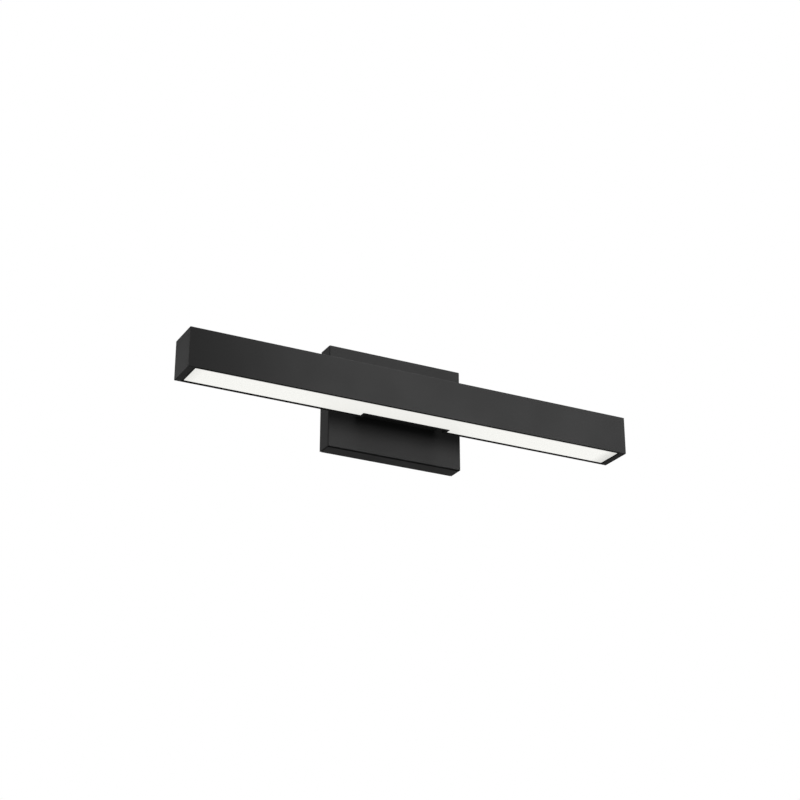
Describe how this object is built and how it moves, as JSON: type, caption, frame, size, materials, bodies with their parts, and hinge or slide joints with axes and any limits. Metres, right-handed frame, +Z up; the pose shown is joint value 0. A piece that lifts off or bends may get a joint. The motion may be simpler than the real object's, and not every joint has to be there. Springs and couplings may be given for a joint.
{
  "type": "vanity light bar",
  "caption": "Wall-mounted vanity light bar: long square-section body with an opal diffuser in its underside, carried by a wide short arm from a shallow rectangular canopy.",
  "frame": {"origin": "centre of the wall bracket's wire hole, on the wall plane", "axes": "+X along the bar, to the right of a person facing the wall; +Y into the wall; +Z up"},
  "size_m": [0.61, 0.092, 0.1395],
  "materials": {
    "bar_black": "matte black powder coat with a fine texture, on extruded aluminium",
    "cap_black": "matte black powder coat, on die-cast aluminium",
    "opal": "opal acrylic, smooth face, lit evenly from behind",
    "tray_aluminium": "mill finish",
    "board_white": "white solder mask",
    "led_phosphor": "yellow phosphor in a white package",
    "connector_white": "natural nylon",
    "frame_black": "matte black powder coat, on die-cast zinc",
    "arm_black": "matte black powder coat, on extruded aluminium",
    "canopy_black": "matte black powder coat, on sheet steel",
    "chassis_black": "matte black powder coat, on sheet steel",
    "bracket_zinc": "zinc plated, with a fine spangle",
    "screw_black": "black oxide",
    "screw_zinc": "bright zinc plated",
    "screw_green": "green passivated",
    "lug_tin": "tinned copper",
    "grommet_rubber": "black rubber",
    "driver_case": "white polycarbonate, fine spark texture",
    "block_cream": "cream polyamide",
    "lead_green": "green insulation",
    "lead_mains": "one black and one white insulation",
    "lead_output": "one black and one red insulation"
  },
  "bodies": {
    "root": {"bar_housing": "bar_black", "end_cap_left": "cap_black", "end_cap_right": "cap_black", "end_cap_screws": "screw_black", "diffuser": "opal", "led_tray": "tray_aluminium", "tray_screws": "screw_zinc", "led_board_left": "board_white", "led_board_right": "board_white", "led_chips_left": "led_phosphor", "led_chips_right": "led_phosphor", "board_screws": "screw_zinc", "board_link": "connector_white", "board_socket": "connector_white", "board_plug": "connector_white", "arm_frame": "frame_black", "arm_frame_screws": "screw_black", "arm": "arm_black", "arm_front_screws": "screw_zinc", "arm_rear_screws": "screw_zinc", "front_grommet": "grommet_rubber", "rear_grommet": "grommet_rubber", "canopy_cover": "canopy_black", "canopy_chassis": "chassis_black", "canopy_screws": "screw_black", "wall_bracket": "bracket_zinc", "ground_screw": "screw_green", "ground_lug": "lug_tin", "ground_lead": "lead_green", "led_driver": "driver_case", "driver_screws": "screw_zinc", "terminal_block": "block_cream", "terminal_block_screws": "screw_zinc", "mains_leads": "lead_mains", "output_leads": "lead_output"}
  },
  "joints": []
}
